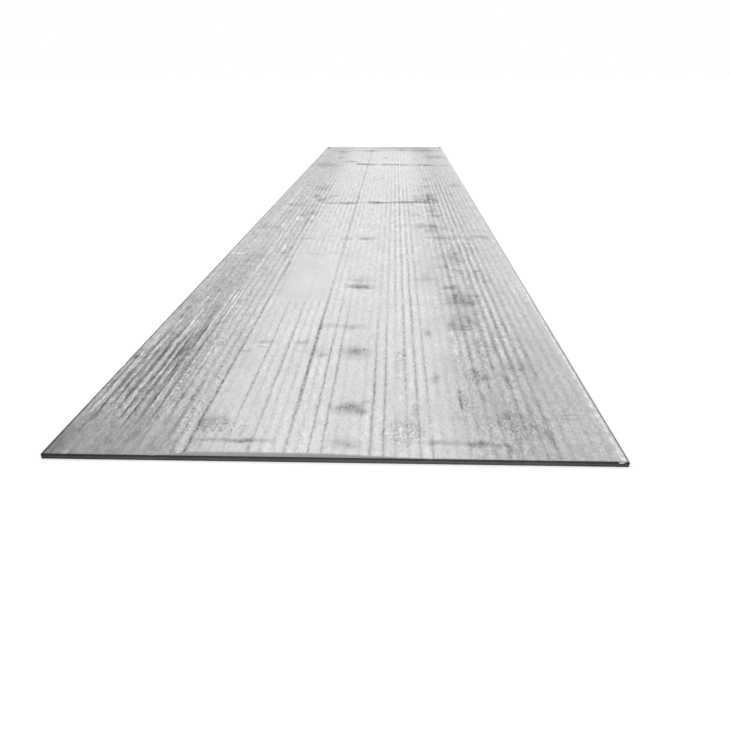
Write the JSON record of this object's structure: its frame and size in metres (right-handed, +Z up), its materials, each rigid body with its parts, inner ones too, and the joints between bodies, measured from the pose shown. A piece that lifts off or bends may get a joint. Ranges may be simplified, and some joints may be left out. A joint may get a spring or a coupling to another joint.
{
  "type": "steel plate",
  "caption": "Flat rectangular hot-rolled steel plate with sheared edges and mill scale, raw stock for cutting, bending and welding.",
  "frame": {"origin": "middle of the underside, where the plate rests on the floor", "axes": "+Y along the length, from the head end to the tail end; +X across the width; +Z up, through the thickness"},
  "size_m": [2, 12, 0.02],
  "materials": {
    "mill_scale": "hot-rolled mill scale, weathered pale grey, streaked along the rolling direction, with dark sheared edges"
  },
  "bodies": {
    "root": {"steel_plate": "mill_scale"}
  },
  "joints": []
}
